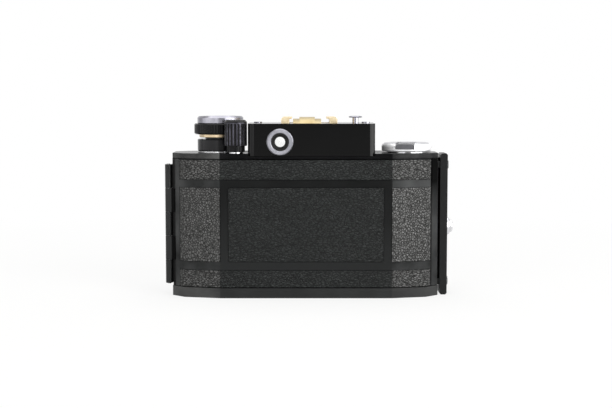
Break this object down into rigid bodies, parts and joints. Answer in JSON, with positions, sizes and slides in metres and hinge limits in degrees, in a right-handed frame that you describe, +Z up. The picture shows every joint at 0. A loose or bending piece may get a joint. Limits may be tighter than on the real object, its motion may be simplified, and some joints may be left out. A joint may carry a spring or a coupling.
{
  "type": "miniature camera",
  "caption": "Compact film camera with a hinged leather-covered back, raised finder housing, winding and rewind knobs, accessory shoe and focusing lens.",
  "frame": {"origin": "mouth of the tripod socket in the middle of the base, on the plane the camera stands on", "axes": "+X to the right as seen from behind the camera, +Y the way the lens looks, +Z up"},
  "size_m": [0.1338, 0.0561, 0.0831],
  "materials": {
    "enamel": "black stoving enamel",
    "steel": "turned steel",
    "bush_brass": "turned brass",
    "chrome": "satin and bright chrome",
    "gilt": "polished brass",
    "leather": "fine pebble grain",
    "dark_steel": "blackened steel",
    "spring_brass": "rolled spring brass",
    "moulding": "moulded",
    "cloth": "rubbered silk",
    "glass": "polished"
  },
  "bodies": {
    "body": {"main_casting": "enamel", "base_pan": "enamel", "base_screws": "steel", "tripod_bush": "bush_brass", "top_plate": "enamel", "deck_rings": "chrome", "finder_housing": "enamel", "housing_screws": "chrome", "finder_block": "enamel", "eyepiece_ring": "chrome", "eyepiece_cup": "enamel", "finder_glass": "glass", "accessory_shoe": "gilt", "shoe_spring": "gilt", "wind_collar": "enamel", "hinge_leaf_body": "enamel", "hinge_pin": "steel", "latch_rail": "enamel", "rail_screws": "steel", "gate_frame": "dark_steel", "shutter_crate": "dark_steel", "shutter_blind": "cloth", "front_plate": "enamel", "lens_flange": "chrome", "flange_screws": "steel", "front_leather": "leather"},
    "back_door": {"back_shell": "enamel", "leather_centre": "leather", "leather_strips": "leather", "leather_sides": "leather", "hinge_leaf_door": "enamel", "catch_keeper": "steel", "pressure_plate": "dark_steel", "pressure_spring": "spring_brass"},
    "winder": {"wind_shaft": "steel", "takeup_spool": "moulding", "wind_brass_disc": "gilt", "wind_knob": "enamel", "wind_dial": "chrome"},
    "sprocket": {"sprocket_drum": "steel"},
    "speed": {"speed_drum": "enamel"},
    "rewind": {"rewind_shaft": "steel", "rewind_disc": "chrome"},
    "key": {"rewind_key": "dark_steel"},
    "release": {"release_button": "chrome"},
    "catch": {"catch_button": "chrome"},
    "left_roller": {"roller_left": "steel"},
    "right_roller": {"roller_right": "steel"},
    "focusing": {"focus_ring": "chrome"},
    "lens": {"lens_barrel": "chrome", "front_element": "glass", "middle_element": "glass", "rear_element": "glass", "front_bezel": "chrome"},
    "stops": {"aperture_ring": "chrome"},
    "blade_1": {"iris_blade_1": "dark_steel"},
    "blade_2": {"iris_blade_2": "dark_steel"},
    "blade_3": {"iris_blade_3": "dark_steel"},
    "blade_4": {"iris_blade_4": "dark_steel"},
    "blade_5": {"iris_blade_5": "dark_steel"}
  },
  "joints": [
    {"name": "door_swing", "type": "hinge", "parent": "body", "child": "back_door", "pos_m": [-0.06365, -0.0058, 0.0335], "axis": [0, 0, -1], "range_deg": [0, 105]},
    {"name": "wind_turn", "type": "hinge", "parent": "body", "child": "winder", "pos_m": [-0.04015, 0.0043, 0.07], "axis": [0, 0, 1], "continuous": true},
    {"name": "sprocket_turn", "type": "hinge", "parent": "body", "child": "sprocket", "pos_m": [-0.0273, -0.00675, 0.033], "axis": [0, 0, 1], "continuous": true},
    {"name": "left_roller_turn", "type": "hinge", "parent": "body", "child": "left_roller", "pos_m": [-0.0148, -0.0058, 0.033], "axis": [0, 0, 1], "continuous": true},
    {"name": "right_roller_turn", "type": "hinge", "parent": "body", "child": "right_roller", "pos_m": [0.0196, -0.0058, 0.033], "axis": [0, 0, 1], "continuous": true},
    {"name": "speed_turn", "type": "hinge", "parent": "body", "child": "speed", "pos_m": [-0.03215, -0.0115, 0.072], "axis": [0, 0, 1], "range_deg": [0, 288]},
    {"name": "rewind_turn", "type": "hinge", "parent": "body", "child": "rewind", "pos_m": [0.0469, 0.0005, 0.069], "axis": [0, 0, 1], "continuous": true},
    {"name": "key_fold", "type": "hinge", "parent": "rewind", "child": "key", "pos_m": [0.04756, 0.00495, 0.06905], "axis": [-0.9893, 0.1461, 0], "range_deg": [0, 88]},
    {"name": "release_press", "type": "slide", "parent": "body", "child": "release", "axis": [0, 0, -1], "range_m": [0, 0.0018], "stiffness_N_per_m": 300, "springref_m": -0.0008},
    {"name": "catch_press", "type": "slide", "parent": "body", "child": "catch", "axis": [-1, 0, 0], "range_m": [0, 0.0011], "stiffness_N_per_m": 300, "springref_m": -0.0008},
    {"name": "focus_turn", "type": "hinge", "parent": "body", "child": "focusing", "pos_m": [0.0024, 0.02, 0.033], "axis": [0, 1, 0], "range_deg": [0, 180]},
    {"name": "focus_slide", "type": "slide", "parent": "body", "child": "lens", "axis": [0, 1, 0], "range_m": [0, 0.004]},
    {"name": "stop_turn", "type": "hinge", "parent": "lens", "child": "stops", "pos_m": [0.0024, 0.02, 0.033], "axis": [0, 1, 0], "range_deg": [0, 66]},
    {"name": "blade_1_turn", "type": "hinge", "parent": "lens", "child": "blade_1", "pos_m": [0.0145, 0.0206, 0.033], "axis": [0, 1, 0], "range_deg": [0, 22]},
    {"name": "blade_2_turn", "type": "hinge", "parent": "lens", "child": "blade_2", "pos_m": [0.00614, 0.0206, 0.02149], "axis": [0, 1, 0], "range_deg": [0, 22]},
    {"name": "blade_3_turn", "type": "hinge", "parent": "lens", "child": "blade_3", "pos_m": [-0.00739, 0.0206, 0.02589], "axis": [0, 1, 0], "range_deg": [0, 22]},
    {"name": "blade_4_turn", "type": "hinge", "parent": "lens", "child": "blade_4", "pos_m": [-0.00739, 0.0206, 0.04011], "axis": [0, 1, 0], "range_deg": [0, 22]},
    {"name": "blade_5_turn", "type": "hinge", "parent": "lens", "child": "blade_5", "pos_m": [0.00614, 0.0206, 0.04451], "axis": [0, 1, 0], "range_deg": [0, 22]}
  ],
  "couplings": [
    {"joint": "sprocket_turn", "follows": "wind_turn", "ratio": 0.9917},
    {"joint": "left_roller_turn", "follows": "wind_turn", "ratio": 2.6},
    {"joint": "right_roller_turn", "follows": "wind_turn", "ratio": 2.6},
    {"joint": "focus_slide", "follows": "focus_turn", "m_per_rad": 0.0012731},
    {"joint": "blade_1_turn", "follows": "stop_turn", "ratio": 0.3333},
    {"joint": "blade_2_turn", "follows": "stop_turn", "ratio": 0.3333},
    {"joint": "blade_3_turn", "follows": "stop_turn", "ratio": 0.3333},
    {"joint": "blade_4_turn", "follows": "stop_turn", "ratio": 0.3333},
    {"joint": "blade_5_turn", "follows": "stop_turn", "ratio": 0.3333}
  ]
}
